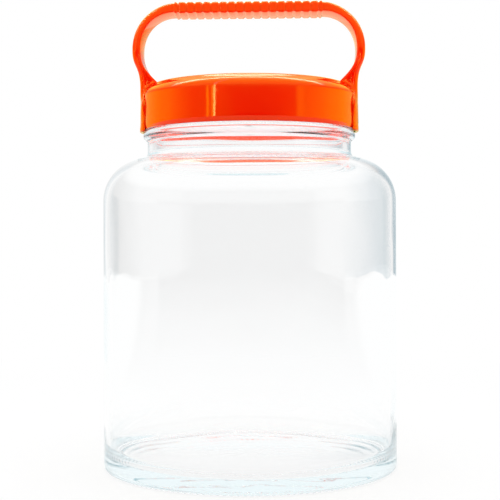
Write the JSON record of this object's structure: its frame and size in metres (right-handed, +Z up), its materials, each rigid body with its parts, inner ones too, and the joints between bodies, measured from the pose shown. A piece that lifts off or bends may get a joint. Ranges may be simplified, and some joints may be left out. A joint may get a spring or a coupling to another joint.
{
  "type": "fermentation jar",
  "caption": "Clear wide-mouth glass fermenting jar with an orange screw cap, a fixed loop handle with a ribbed grip, and a sealed inner lid with a one-way gas valve.",
  "frame": {"origin": "centre of the jar's foot, on the surface that it stands on", "axes": "+Z up along the jar's axis, -Y the front, the handle's legs on the X axis"},
  "size_m": [0.166, 0.166, 0.2627],
  "materials": {
    "clear_glass": "clear, fire-polished",
    "orange_plastic": "glossy moulded",
    "milky_plastic": "milky, soft sheen",
    "silicone": "translucent matte"
  },
  "bodies": {
    "jar": {"glass_jar": "clear_glass"},
    "inner": {"inner_lid": "milky_plastic", "rim_seal": "silicone", "release_valve": "silicone"},
    "lid": {"screw_cap": "orange_plastic", "carry_handle": "orange_plastic"}
  },
  "joints": [
    {"name": "lid_rise", "type": "slide", "parent": "jar", "child": "inner", "axis": [0, 0, 1], "range_m": [0, 0.0321]},
    {"name": "lid_turn", "type": "hinge", "parent": "inner", "child": "lid", "pos_m": [0, 0, 0.2], "axis": [0, 0, 1], "range_deg": [0, 1440]}
  ],
  "couplings": [
    {"joint": "lid_rise", "follows": "lid_turn", "m_per_rad": 0.0012732}
  ]
}
